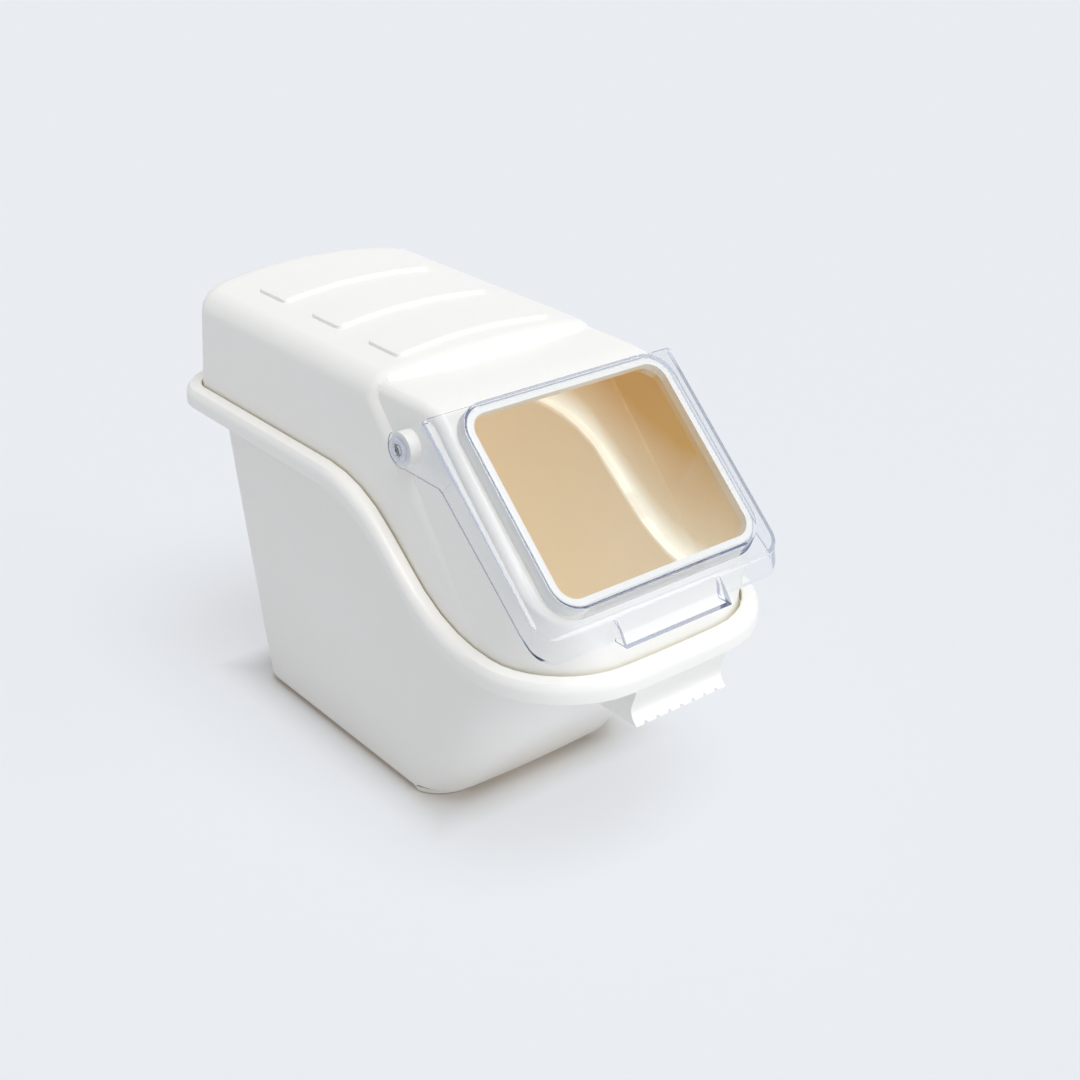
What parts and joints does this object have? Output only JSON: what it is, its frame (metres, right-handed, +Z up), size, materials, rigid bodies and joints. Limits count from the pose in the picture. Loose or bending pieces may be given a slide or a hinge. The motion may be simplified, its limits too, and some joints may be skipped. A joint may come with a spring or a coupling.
{
  "type": "pet food bin",
  "caption": "White moulded shelf bin for dry pet food, with a sweeping rolled rim, a lift-off crowned hood and a clear flip-up door over a slanted window.",
  "frame": {"origin": "on the floor, at the centre of the bin's outline seen from above", "axes": "+X across the bin to its right side, -Y to the front with the door, +Z up"},
  "size_m": [0.2396, 0.503, 0.346],
  "materials": {
    "white_plastic": "semi-gloss moulded polypropylene",
    "clear_plastic": "clear gloss polycarbonate"
  },
  "bodies": {
    "tub": {"tub": "white_plastic"},
    "hood": {"hood": "white_plastic", "hinge_pin_left": "clear_plastic", "hinge_pin_right": "clear_plastic"},
    "door": {"door": "clear_plastic"}
  },
  "joints": [
    {"name": "hood_lift", "type": "slide", "parent": "tub", "child": "hood", "axis": [0, 0, 1], "range_m": [0, 0.12]},
    {"name": "door_flip", "type": "hinge", "parent": "hood", "child": "door", "pos_m": [0, -0.0815, 0.30082], "axis": [-1, 0, 0], "range_deg": [0, 78]}
  ]
}
